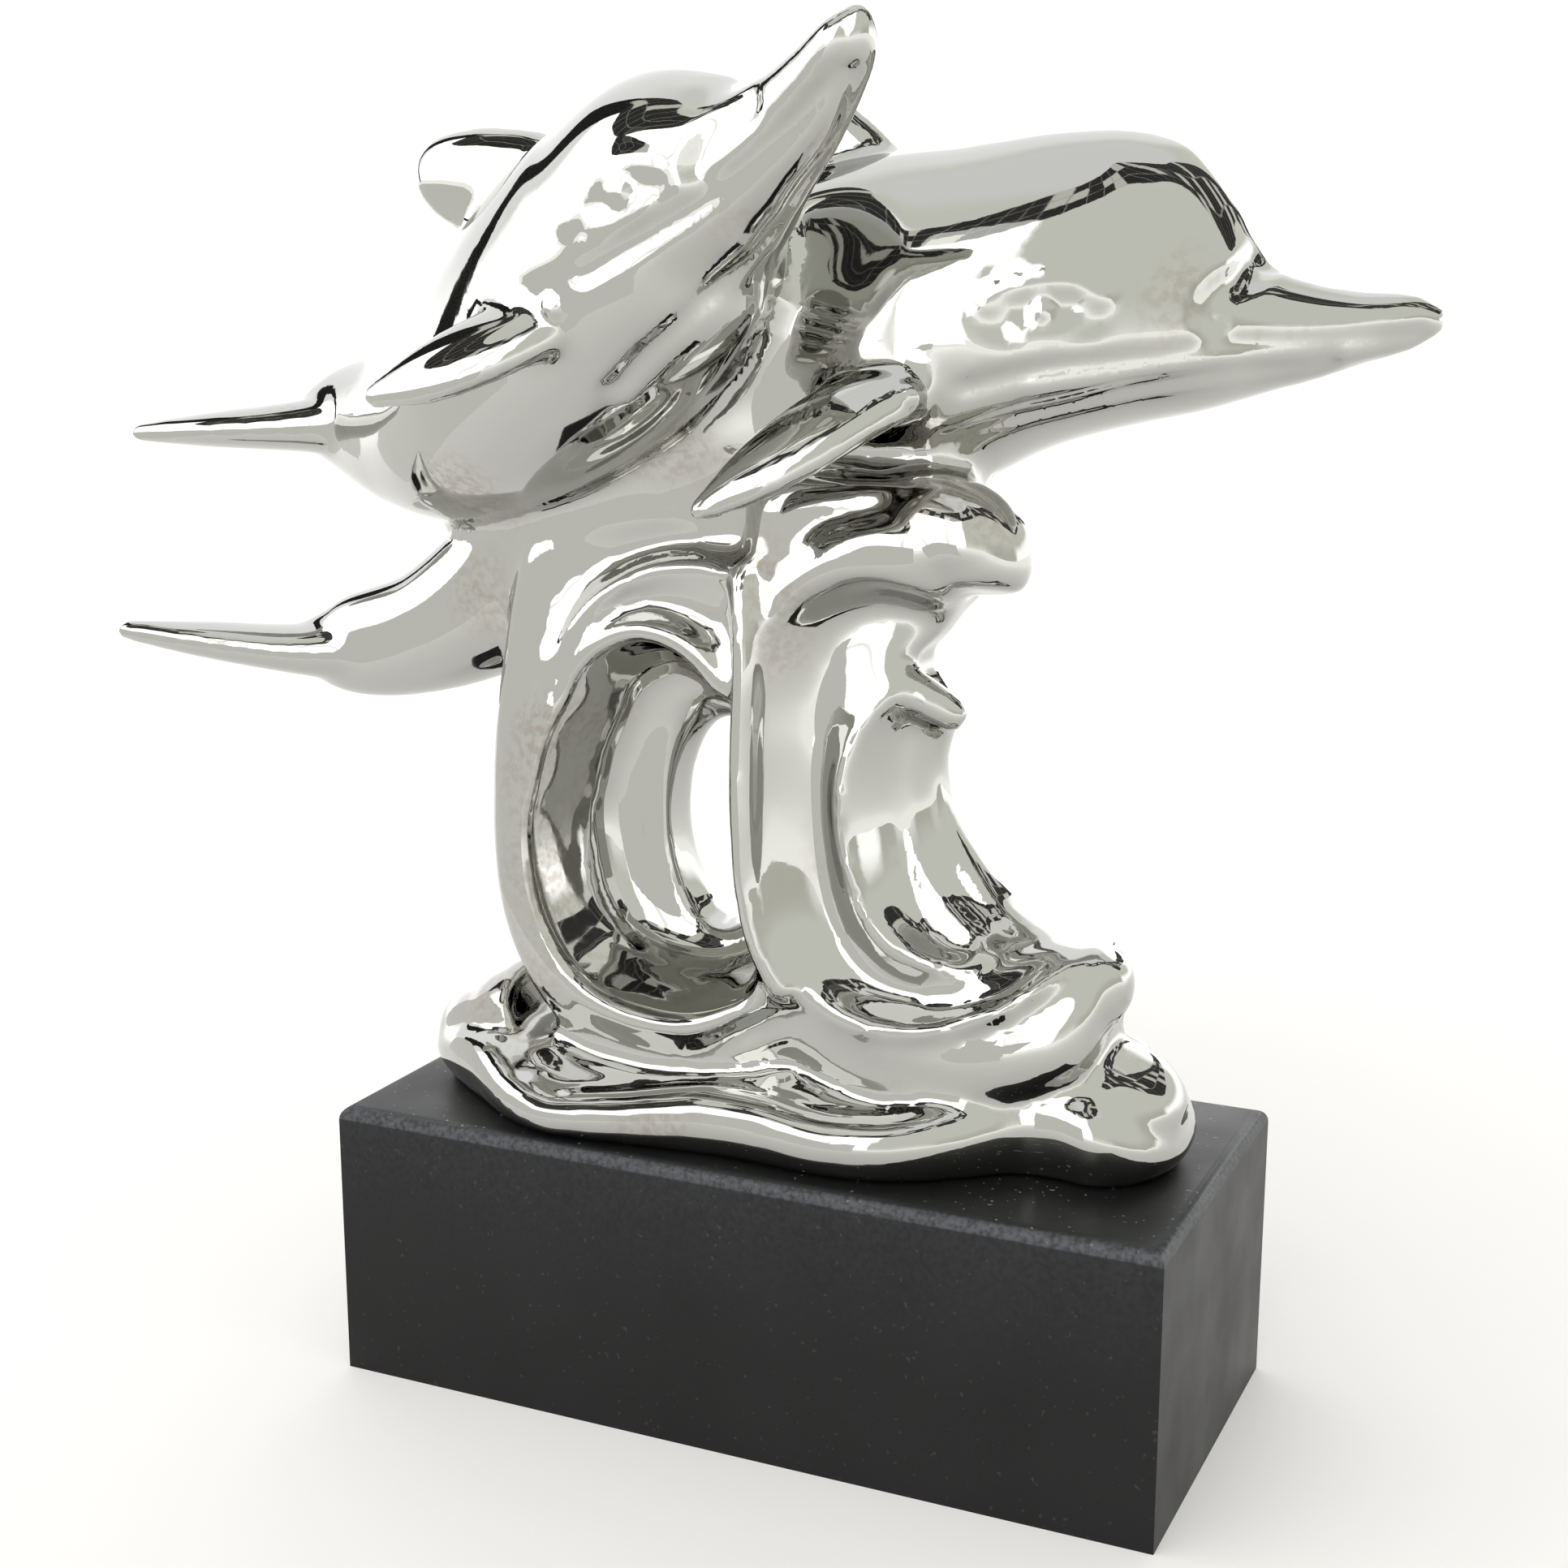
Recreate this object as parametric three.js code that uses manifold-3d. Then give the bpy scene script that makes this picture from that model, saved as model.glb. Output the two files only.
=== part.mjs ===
// Two dolphins crossing above a curling wave, cast in one piece, standing on a black plinth.
// Millimetres, Z up. The origin is the middle of the plinth's underside, and the front faces -Y.

import * as THREE from 'three';
import Module from 'manifold-3d';

// Driving sizes
const PLINTH_LENGTH = 180;
const PLINTH_DEPTH = 82;
const PLINTH_HEIGHT = 60;
const PLINTH_EDGE_ROUND = 3;
const FIGURE_HEIGHT = 217; // plinth top to the upper dolphin's nose
const SEAT_GAP = 0.3; // the foot stands this far above the plinth

// The figure's forms are given for a figure this tall, with Z measured from the plinth's top.
const DRAWN_HEIGHT = 217;
const SCALE = FIGURE_HEIGHT / DRAWN_HEIGHT;

// Facets
const BODY_SIDES = 20;
const FIN_SIDES = 10;
const RIDGE_SIDES = 8;
const SMALLEST_STEP = 0.12; // facets that stand out less than this are merged

const wasm = await Module();
wasm.setup();

// A loft row is [x, y, z, half width, height above, height below]. The width lies across the
// path and square to `up`, and the heights lie along `up`. Without the last one both are alike.

const UPPER_BODY = [
  [-140, 10, 139, 4, 3.5],
  [-116, 6, 141, 7, 10],
  [-94, 0, 140, 13, 16.5],
  [-75, -7, 143, 19, 22.5],
  [-57, -14, 151, 24, 27.5],
  [-33, -24, 167, 26, 29.5],
  [-18, -31, 178, 25, 27.5],
  [-7, -37, 187.5, 21, 22.5, 22.5],
  [5, -42, 193, 15, 15, 17],
  [12, -45, 195.5, 11.5, 8.5, 13],
  [19, -48, 198.5, 9, 7.5, 9],
  [28, -53, 205, 6.6, 5.7],
  [34, -57, 211, 4.4, 3.7],
  [36, -58, 214.5, 1.5, 1.2],
];

const LOWER_BODY = [
  [-128, 0, 91, 4, 5],
  [-111, 0, 91, 7.5, 9.5],
  [-90, 1, 96, 10.5, 12.9],
  [-70, 4, 108, 14.5, 17.6],
  [-51, 6, 124, 19.5, 23],
  [-30, 8, 141, 24, 27.5],
  [-10, 10, 155, 27, 31],
  [10, 12, 161, 28, 33.5, 31],
  [30, 14, 161, 28, 36, 29],
  [47, 16, 160.5, 26, 38.5, 20.5],
  [61, 18, 160, 22.5, 37.5, 15.5],
  [71, 19, 160, 18.5, 32.5, 13],
  [79, 20, 160.5, 15, 22.5, 11],
  [85, 21, 161, 12, 13, 9.8],
  [92, 22, 161.5, 10, 9.5, 8.5],
  [103, 24, 162.5, 7.4, 6.6, 6],
  [113, 26, 164, 5, 4.3, 4.3],
  [118, 27, 164, 1.5, 1.5],
];

// Each fin is its rows and the direction that its flat face looks along.
const FINS = [
  // upper dolphin: near and far fluke, fin on the back, near flipper
  {
    face: [0, 0, 1],
    rows: [[-108, 5, 141, 9, 7], [-124, 2, 140, 9, 5], [-145, -3, 139, 7, 3.2],
      [-163, -7, 138, 1.5, 1.2]],
  },
  {
    face: [0, 0, 1],
    rows: [[-108, 7, 141, 9, 7], [-122, 16, 141, 9, 5], [-134, 28, 140, 6, 3.2],
      [-143, 38, 139, 1.5, 1.2]],
  },
  {
    face: [0.3, 1, 0],
    rows: [[-40, -20, 180, 18, 6], [-56, -18, 188, 13, 4.6], [-69, -16, 191, 9, 3.8],
      [-77, -15, 190.5, 3.5, 2]],
  },
  {
    face: [-0.3, -0.8, 0.5],
    rows: [[-24, -43, 168, 7, 4.5], [-36, -53, 161, 8, 3.6], [-49, -58, 155, 6.5, 2.8],
      [-62, -60, 150, 1.5, 1.2]],
  },
  // lower dolphin: near and far fluke, fin on the back, near and far flipper
  {
    face: [0, 0, 1],
    rows: [[-106, 1, 91, 9, 7], [-122, -4, 91, 9, 5], [-142, -12, 93, 6.5, 3.4],
      [-160, -19, 95, 1.5, 1.4]],
  },
  {
    face: [0, 0, 1],
    rows: [[-106, 3, 91, 9, 7], [-118, 11, 92, 9, 5], [-128, 20, 92.5, 6, 3.2],
      [-136, 29, 92, 1.5, 1.2]],
  },
  {
    face: [0, 1, 0],
    rows: [[8, 12, 180, 17, 7], [0, 11, 194, 12, 5], [-7, 10.5, 203, 8, 4], [-13, 10, 208, 3, 2]],
  },
  {
    face: [-0.3, -0.8, 0.5],
    rows: [[26, -12, 152, 7, 4.5], [17, -24, 146, 8.5, 3.8], [6, -32, 137.5, 7, 2.9],
      [-6, -37, 128.5, 1.5, 1.2]],
  },
  {
    face: [-0.3, 0.8, 0.5],
    rows: [[26, 37, 152, 7, 4.5], [17, 48, 146, 8.5, 3.8], [6, 55, 137.5, 7, 2.9],
      [-6, 59, 128.5, 1.5, 1.2]],
  },
];

// Outline of the wave seen from the front, as [x, z].
const WAVE_OUTLINE = [
  [-54, 8], [-58.5, 24], [-61, 45], [-61.5, 68], [-60.5, 88], [-57.5, 108], [-53, 125], [-46, 137],
  [-20, 136], [10, 134], [32, 134], [41, 130], [43, 118], [38, 109], [30, 104], [25, 98],
  [30, 91], [33, 86], [30, 79], [30, 70], [36, 60], [45, 51], [56, 46], [67, 45],
  [70, 36], [67, 22], [58, 8], [20, 5], [-25, 5],
];
const WAVE_FRONT = -22;
const WAVE_BACK = 20;
const WAVE_TAPER = 0.65; // how much of the depth behind is lost towards the right
const WAVE_BEVEL = 5;

// Hollows, as lofts running from front to back.
const HOLLOWS = [
  // the opening through the left half
  [[-28, -36, 63, 27, 44, 46], [-28, -24, 63, 23, 40, 38], [-28, -12, 62, 20.5, 37, 36],
    [-27, 2, 62, 15, 28, 26], [-26, 14, 62, 12, 24, 23], [-26, 30, 62, 18, 31]],
  // the right half, front, and the deeper scoop behind its inner crest
  [[42, -36, 76, 46, 54], [41, -24, 76, 39, 48], [41, -16, 76, 35, 44], [41, -10, 76, 28, 36],
    [41, -8, 76, 10, 14]],
  [[46, -16, 71, 27, 28], [46, -7, 71, 23, 24], [46, -2, 71, 14, 15], [46, -1, 71, 5, 5]],
  // the right half, back
  [[42, 36, 76, 46, 54], [41, 20, 76, 37, 45], [41, 12, 76, 30, 38], [41, 7, 76, 20, 28],
    [41, 6, 76, 8, 12]],
];

// Rounded crests of the wave, front side.
const CRESTS = [
  // outer and inner fold over the opening
  [[-56, -19, 66, 3, 3], [-54, -21, 90, 3.5, 3.5], [-48, -22, 110, 3.5, 3.5], [-38, -22, 122, 3.5, 3.5],
    [-24, -21, 126, 3.5, 3.5], [-11, -21, 122, 3, 3.5], [-4, -22, 117, 3, 3]],
  [[-52, -22, 56, 2, 2], [-51, -23, 76, 3, 3.5], [-45, -23, 95, 3, 3.5], [-36, -23, 109, 3, 3.5],
    [-25, -23, 115, 3, 3.5], [-12, -23, 117, 3, 3.5], [-4, -23, 116, 3, 3]],
  // middle crest, down from the fork to the foot
  [[-4, -22, 119, 3, 3], [-2.5, -24, 106, 3.5, 4], [-2.5, -24, 88, 3.5, 4], [-2, -24, 68, 3.5, 4],
    [0, -24, 52, 4, 4], [6, -24, 38, 4.5, 4], [18, -26, 26, 4.5, 4], [36, -28, 20, 3, 3]],
  // edge of the right half, from under the curl round to the tip
  [[44, -14, 117, 2, 2], [34, -20, 123, 3, 3.5], [22, -23, 124, 3.2, 4], [11, -23, 119, 3.2, 4],
    [4, -23, 108, 3, 4],
    [1.5, -23, 92, 3, 4], [2.5, -23, 70, 3, 4], [7, -24, 49, 3.5, 4], [17, -26, 34, 4, 5],
      [32, -27, 28, 4.5, 6],
    [48, -25, 30, 5, 7], [60, -18, 37, 5.5, 7], [68, -10, 43, 5, 6], [71, -5, 46, 2, 2]],
  // upper fold, from the fork to the curl
  [[-5, -21, 117, 3, 3], [5, -23, 122, 3, 3.5], [16, -23, 127, 3, 4], [30, -20, 130, 3.5, 5],
    [44, -13, 131, 3, 4]],
  // inner crest of the right half
  [[30, -8, 98, 2, 2], [25, -12, 94, 2.8, 4], [21, -14, 85, 2.8, 4.5], [18.5, -14, 72, 2.8, 4.5],
    [20, -14, 61, 2.8, 4.5], [26, -13, 52, 2.8, 4.5], [35, -12, 45, 2.5, 4], [46, -12, 42, 1.5, 2]],
  // wavy rim along the front of the foot
  [[-66, -24, 16, 3, 3], [-53, -32, 11, 4, 4], [-40, -34, 7, 4, 4], [-22, -35, 8, 4, 4],
    [-4, -35, 10, 4, 4],
    [14, -34, 9, 4, 4], [32, -34, 8, 4, 4], [48, -33, 12, 4, 4], [61, -28, 15, 4, 4],
      [72, -20, 14, 4, 4], [78, -12, 10, 2, 2]],
  // roll round the bottom of the opening
  [[-56, -16, 78, 3, 3], [-57, -17, 60, 4.5, 4.5], [-56, -18, 40, 5, 5], [-51, -20, 26, 5.5, 5.5],
    [-41, -22, 18, 5.5, 6],
    [-27, -23, 15, 5.5, 6], [-12, -24, 18, 5.5, 6], [2, -24, 26, 5, 5], [8, -22, 32, 3, 3]],
];

// Bulged forms: the curl at the top right, the barb on the inner crest, the wave's tip,
// the lobes at both ends of the foot and the saddle under the dolphins.
const BULGES = [
  [[26, -6, 127, 8, 10], [37, -7, 126, 9, 11], [42, -7, 119, 7, 10], [39, -6, 112, 4, 6]],
  [[22, -6, 94, 3, 4], [28, -6, 92, 3.5, 4], [34, -5, 87, 1.8, 2]],
  [[46, -8, 30, 9, 12], [59, -6, 33, 10, 11], [68, -4, 38, 6, 8], [72, -3, 45, 2.5, 3]],
  [[-85, -3, 6, 4, 3], [-78, -4, 10, 10, 6.5], [-68, -4, 15, 14, 7.5], [-56, -4, 18, 16, 7.5]],
  [[54, -5, 12, 18, 10], [66, -5, 13, 18, 11], [76, -4, 9, 12, 9], [82, -3, 5, 5, 5]],
  [[-48, -6, 128, 8, 12], [-25, -4, 134, 12, 18], [5, 0, 134, 12, 20], [24, 2, 134, 10, 18],
    [36, 2, 134, 5, 10]],
];

const FOOT = [
  [-87, 2, 2, 6, 4],
  [-80, 0, 4, 16, 9],
  [-69, -3, 5, 24, 10],
  [-50, -3, 4, 32, 11],
  [-25, -3, 4, 34, 10],
  [5, -2, 4, 34, 11],
  [35, -2, 4, 31, 12],
  [62, -2, 5, 27, 13],
  [74, -2, 5, 20, 11],
  [81, -2, 4, 12, 8],
  [84.5, -2, 3, 5, 4],
];

const FORWARD = [0, -1, 0];
const UPWARD = [0, 0, 1];

// A closed solid of oval rings along a smooth path through the rows.
function loft(rows, { up = UPWARD, sides = FIN_SIDES, steps = 3 } = {}) {
  const path = new THREE.CatmullRomCurve3(rows.map(([x, y, z]) => new THREE.Vector3(x, y, z)));
  const sizes = new THREE.CatmullRomCurve3(rows.map(([, , , across, above, below = above]) => (
    new THREE.Vector3(across, above, below))));
  const rings = (rows.length - 1) * steps;
  const upward = new THREE.Vector3(...up);
  const points = [];
  for (let ring = 0; ring <= rings; ring += 1) {
    const t = ring / rings;
    const centre = path.getPoint(t);
    const size = sizes.getPoint(t);
    const across = path.getTangent(t).cross(upward).normalize();
    const along = across.clone().cross(path.getTangent(t)).normalize();
    for (let side = 0; side < sides; side += 1) {
      const angle = (side / sides) * Math.PI * 2;
      points.push(centre.clone()
        .addScaledVector(across, Math.cos(angle) * size.x)
        .addScaledVector(along, Math.sin(angle) * (angle < Math.PI ? size.y : size.z)));
    }
  }
  const faces = [];
  for (let ring = 0; ring < rings; ring += 1) {
    for (let side = 0; side < sides; side += 1) {
      const next = (side + 1) % sides;
      const a = ring * sides + side;
      const b = ring * sides + next;
      const c = a + sides;
      const d = b + sides;
      faces.push(a, c, d, a, d, b);
    }
  }
  const start = points.push(path.getPoint(0)) - 1;
  const end = points.push(path.getPoint(1)) - 1;
  const last = rings * sides;
  for (let side = 0; side < sides; side += 1) {
    const next = (side + 1) % sides;
    faces.push(start, side, next);
    faces.push(end, last + next, last + side);
  }
  return solid(points, faces);
}

// Scales drawn points to the figure's height, stands them on the plinth's top and makes a solid.
function solid(points, faces) {
  const vertProperties = new Float32Array(points.flatMap(({ x, y, z }) => [
    x * SCALE,
    y * SCALE,
    z * SCALE + PLINTH_HEIGHT,
  ]));
  return new wasm.Manifold(new wasm.Mesh({ numProp: 3, vertProperties, triVerts: new Uint32Array(faces) }));
}

// The wave's outline pushed from front to back, with its edges rounded.
function waveSlab() {
  const curve = new THREE.CatmullRomCurve3(WAVE_OUTLINE.map(([x, z]) => new THREE.Vector3(x, 0, z)), true);
  const edge = curve.getPoints(WAVE_OUTLINE.length * 2).slice(0, -1);
  const layers = [
    [WAVE_FRONT, WAVE_BEVEL],
    [WAVE_FRONT + WAVE_BEVEL * 0.3, WAVE_BEVEL * 0.3],
    [WAVE_FRONT + WAVE_BEVEL, 0],
    [WAVE_BACK - WAVE_BEVEL, 0],
    [WAVE_BACK - WAVE_BEVEL * 0.3, WAVE_BEVEL * 0.3],
    [WAVE_BACK, WAVE_BEVEL],
  ];
  const count = edge.length;
  const points = [];
  for (const [depth, inset] of layers) {
    edge.forEach((point, i) => {
      const before = edge[(i + count - 1) % count];
      const after = edge[(i + 1) % count];
      const run = after.clone().sub(before).normalize();
      const x = point.x + run.z * inset;
      const kept = depth > 0 ? 1 - WAVE_TAPER * THREE.MathUtils.smoothstep(x, -10, 40) : 1;
      points.push(new THREE.Vector3(x, depth * kept, point.z - run.x * inset));
    });
  }
  const faces = [];
  for (let layer = 0; layer + 1 < layers.length; layer += 1) {
    for (let i = 0; i < count; i += 1) {
      const next = (i + 1) % count;
      const a = layer * count + i;
      const b = layer * count + next;
      faces.push(a, b + count, a + count, a, b, b + count);
    }
  }
  const outline = points.slice(0, count).map(({ x, z }) => new THREE.Vector2(x, z));
  const back = (layers.length - 1) * count;
  for (const [a, b, c] of THREE.ShapeUtils.triangulateShape(outline, [])) {
    const turn = outline[b].clone().sub(outline[a]).cross(outline[c].clone().sub(outline[a]));
    const [first, second] = turn > 0 ? [b, c] : [c, b];
    faces.push(a, first, second, back + a, back + second, back + first);
  }
  return solid(points, faces);
}

// A block reaching well past the figure, up to the height where the foot stands.
function belowFoot() {
  const reach = FIGURE_HEIGHT;
  const corners = [];
  for (const x of [-reach, reach]) {
    for (const y of [-reach, reach]) {
      for (const z of [PLINTH_HEIGHT - reach, PLINTH_HEIGHT + SEAT_GAP]) corners.push([x, y, z]);
    }
  }
  const quads = [[0, 1, 3, 2], [4, 6, 7, 5], [0, 4, 5, 1], [2, 3, 7, 6], [0, 2, 6, 4], [1, 5, 7, 3]];
  const triVerts = new Uint32Array(quads.flatMap(([a, b, c, d]) => [a, b, c, a, c, d]));
  const vertProperties = new Float32Array(corners.flat());
  return new wasm.Manifold(new wasm.Mesh({ numProp: 3, vertProperties, triVerts }));
}

function toMesh(manifold, name, material) {
  const { vertProperties, triVerts } = manifold.getMesh();
  const geometry = new THREE.BufferGeometry();
  geometry.setAttribute('position', new THREE.BufferAttribute(new Float32Array(vertProperties), 3));
  geometry.setIndex(new THREE.BufferAttribute(new Uint32Array(triVerts), 1));
  geometry.computeVertexNormals();
  const mesh = new THREE.Mesh(geometry, material);
  mesh.name = name;
  return mesh;
}

function casting() {
  let wave = waveSlab();
  for (const rows of HOLLOWS) {
    wave = wave.subtract(loft(rows, { sides: 24, steps: 3 }));
  }
  for (const rows of CRESTS) {
    wave = wave.add(loft(rows, { up: FORWARD, sides: RIDGE_SIDES, steps: 3 }));
  }
  for (const rows of BULGES) {
    wave = wave.add(loft(rows, { sides: 12, steps: 3 }));
  }
  wave = wave.add(loft(FOOT, { sides: 20, steps: 3 }));
  let body = wave.subtract(belowFoot());
  for (const rows of [UPPER_BODY, LOWER_BODY]) body = body.add(loft(rows, { sides: BODY_SIDES, steps: 2 }));
  for (const { face, rows } of FINS) body = body.add(loft(rows, { up: face }));
  return body.simplify(SMALLEST_STEP);
}

function plinth() {
  const round = PLINTH_EDGE_ROUND;
  const half = [PLINTH_LENGTH / 2, PLINTH_DEPTH / 2];
  const levels = [[0, 0], [PLINTH_HEIGHT - round, 0]];
  for (const degrees of [22.5, 45, 67.5, 90]) {
    const angle = THREE.MathUtils.degToRad(degrees);
    levels.push([PLINTH_HEIGHT - round + round * Math.sin(angle), round - round * Math.cos(angle)]);
  }
  const points = [];
  for (const [z, inset] of levels) {
    for (const [sx, sy] of [[-1, -1], [1, -1], [1, 1], [-1, 1]]) {
      points.push(sx * (half[0] - inset), sy * (half[1] - inset), z);
    }
  }
  const faces = [0, 2, 1, 0, 3, 2];
  for (let level = 0; level + 1 < levels.length; level += 1) {
    for (let corner = 0; corner < 4; corner += 1) {
      const next = (corner + 1) % 4;
      const a = level * 4 + corner;
      const b = level * 4 + next;
      faces.push(a, b, b + 4, a, b + 4, a + 4);
    }
  }
  const top = (levels.length - 1) * 4;
  faces.push(top, top + 1, top + 2, top, top + 2, top + 3);
  return new wasm.Manifold(new wasm.Mesh({
    numProp: 3,
    vertProperties: new Float32Array(points),
    triVerts: new Uint32Array(faces),
  }));
}

const silver = new THREE.MeshStandardMaterial({ color: 0xd9d8d6, roughness: 0.04, metalness: 1 });
const blackPaint = new THREE.MeshStandardMaterial({ color: 0x1d1d1e, roughness: 0.45, metalness: 0 });

const sculpture = new THREE.Group();
sculpture.name = 'dolphin_sculpture';
sculpture.add(toMesh(casting(), 'dolphins_on_wave', silver));
sculpture.add(toMesh(plinth(), 'plinth', blackPaint));

export default sculpture;
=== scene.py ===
# %% [markdown]
# # Mirror-silver dolphins on a wave
# A slip-cast ceramic ornament: liquid clay is poured into a plaster mould, fired, glazed, and
# then given a silver film so thin that every dimple of the glaze still shows. It stands on a
# block of wood board painted satin black.

import math

import bpy
import numpy as np
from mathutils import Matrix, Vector


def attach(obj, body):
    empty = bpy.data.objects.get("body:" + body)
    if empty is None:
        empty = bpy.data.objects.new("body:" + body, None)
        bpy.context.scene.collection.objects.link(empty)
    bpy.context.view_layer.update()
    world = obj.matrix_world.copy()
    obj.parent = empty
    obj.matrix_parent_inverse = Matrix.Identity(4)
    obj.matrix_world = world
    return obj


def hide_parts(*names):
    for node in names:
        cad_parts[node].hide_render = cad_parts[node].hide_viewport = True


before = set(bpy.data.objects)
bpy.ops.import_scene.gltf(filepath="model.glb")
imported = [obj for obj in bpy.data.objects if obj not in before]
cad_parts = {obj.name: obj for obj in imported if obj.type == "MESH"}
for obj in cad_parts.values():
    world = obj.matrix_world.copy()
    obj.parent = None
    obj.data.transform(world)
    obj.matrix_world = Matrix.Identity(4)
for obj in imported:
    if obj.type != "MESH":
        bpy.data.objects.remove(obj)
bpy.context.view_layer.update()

# %% [markdown]
# ## Forms laid out like coils of clay
# A modeller builds such a figure from rolled coils and pads, then pinches and smooths them
# into one skin. Each coil here is a row list: a point on its path, and how far it reaches to
# the side, above and below there. Heights are counted from the top of the plinth. Metaballs would
# blend by themselves, but their outline can't be set to a millimetre, and that of coils can.

# %% The two bodies
MM = 0.001
PLINTH_HEIGHT = 60.0
SEAT_GAP = 0.3

UPPER_BODY = [
    (-128, 9, 140, 4, 5, 4), (-116, 7, 140.5, 7, 11.5, 9.5), (-94, 0, 140, 13, 18, 16.5),
    (-75, -7, 143, 19, 22.5, 21), (-57, -14, 151, 24, 27.5, 24.5), (-33, -24, 167, 26, 29.5, 28.5),
    (-18, -31, 178, 25, 27.5), (-7, -37, 187.5, 21, 22.5), (5, -42, 193, 15, 15, 17),
    (12, -45, 195.5, 11.5, 8.5, 13), (19, -48, 198.5, 9, 7.5, 9), (28, -53, 205, 6.6, 5.7),
    (34, -57, 211, 4.4, 3.7), (36, -58, 214.5, 1.5, 1.2),
]
LOWER_BODY = [
    (-123, 0, 91, 4, 5.5, 4.5), (-111, 0, 91, 7.5, 11.2, 9.2), (-90, 1, 96, 10.5, 13.8, 12.5),
    (-70, 4, 108, 14.5, 17.6), (-51, 6, 124, 19.5, 23), (-30, 8, 141, 24, 27.5),
    (-10, 10, 155, 27, 31), (10, 12, 161, 28, 33.5, 31), (30, 14, 161, 28, 36, 29),
    (47, 16, 160.5, 26, 38.5, 20.5), (62, 18, 160, 22.5, 38.5, 15.5), (74, 19, 160, 18.5, 34, 12.7),
    (82, 20.5, 160.5, 15, 24, 10.7), (87, 21, 161, 12, 13.5, 9.6), (94, 22, 161.5, 9.6, 9.5, 8.2),
    (103, 24, 162.5, 7.4, 6.6, 6), (113, 26, 164, 5, 4.3, 4.3), (118, 27, 164, 1.5, 1.5),
]


def spline(rows, steps):
    """Rows in between, on a centripetal Catmull-Rom curve."""
    full = np.array([tuple(r) + (r[4],) * (6 - len(r)) for r in rows], float)
    pad = np.vstack([2 * full[0] - full[1], full, 2 * full[-1] - full[-2]])
    out = []
    for i in range(len(full) - 1):
        p0, p1, p2, p3 = pad[i:i + 4]
        t = [0.0]
        for a, b in ((p0, p1), (p1, p2), (p2, p3)):
            t.append(t[-1] + max(np.linalg.norm(b[:3] - a[:3]), 1e-3) ** 0.5)
        for k in range(steps):
            u = t[1] + (t[2] - t[1]) * k / steps
            a1 = (t[1] - u) / (t[1] - t[0]) * p0 + (u - t[0]) / (t[1] - t[0]) * p1
            a2 = (t[2] - u) / (t[2] - t[1]) * p1 + (u - t[1]) / (t[2] - t[1]) * p2
            a3 = (t[3] - u) / (t[3] - t[2]) * p2 + (u - t[2]) / (t[3] - t[2]) * p3
            b1 = (t[2] - u) / (t[2] - t[0]) * a1 + (u - t[0]) / (t[2] - t[0]) * a2
            b2 = (t[3] - u) / (t[3] - t[1]) * a2 + (u - t[1]) / (t[3] - t[1]) * a3
            out.append((t[2] - u) / (t[2] - t[1]) * b1 + (u - t[1]) / (t[2] - t[1]) * b2)
    out.append(full[-1])
    return np.array(out)


def in_frame(points):
    """Millimetres above the plinth to metres in the shared frame."""
    return (np.asarray(points, float) + (0, 0, PLINTH_HEIGHT)) * MM


def only(obj):
    """Select one object and make it the active one."""
    bpy.ops.object.select_all(action="DESELECT")
    obj.select_set(True)
    bpy.context.view_layer.objects.active = obj


def roll(name, skin):
    """A flat sheet of rows and columns bent to the skin's points, welded along its seam and capped."""
    bpy.ops.object.select_all(action="DESELECT")
    rows, columns = skin.shape[0] - 1, skin.shape[1] - 1
    bpy.ops.mesh.primitive_grid_add(x_subdivisions=columns, y_subdivisions=rows, size=1)
    sheet = bpy.context.object
    sheet.name = name
    sheet.data.vertices.foreach_set("co", in_frame(skin.reshape(-1, 3)).ravel())
    bpy.ops.object.mode_set(mode="EDIT")
    bpy.ops.mesh.select_all(action="SELECT")
    bpy.ops.mesh.remove_doubles(threshold=1e-6)
    bpy.ops.mesh.select_all(action="DESELECT")
    bpy.ops.mesh.select_mode(type="EDGE")
    bpy.ops.mesh.select_non_manifold()
    bpy.ops.mesh.edge_face_add()
    bpy.ops.mesh.select_all(action="SELECT")
    bpy.ops.mesh.normals_make_consistent(inside=False)
    bpy.ops.object.mode_set(mode="OBJECT")
    return sheet


def coil(name, rows, up=(0, 0, 1), sides=40, steps=8):
    """Oval rings along a smooth path through the rows."""
    rings = spline(rows, steps)
    centre, size = rings[:, :3], np.maximum(rings[:, 3:], 0.4)
    along = np.gradient(centre, axis=0)
    along /= np.linalg.norm(along, axis=1)[:, None]
    across = np.cross(along, np.array(up, float))
    across /= np.linalg.norm(across, axis=1)[:, None]
    upward = np.cross(across, along)
    angle = np.linspace(0, 2 * math.pi, sides + 1)
    lift = np.where(np.sin(angle) > 0, size[:, 1:2], size[:, 2:3]) * np.sin(angle)
    skin = (centre[:, None] + across[:, None] * (size[:, :1] * np.cos(angle))[..., None]
            + upward[:, None] * lift[..., None])
    return roll(name, skin)


forms = [coil("upper_body", UPPER_BODY, sides=64, steps=10),
         coil("lower_body", LOWER_BODY, sides=64, steps=10)]

# %% [markdown]
# The fins and flippers are flat pads with a round edge, set on the bodies at a slant. They are coils
# too, only thinner than wide, and each has a direction in which it is wide. The flippers on the far
# side are guessed as the near ones mirrored and made plainer.

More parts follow.
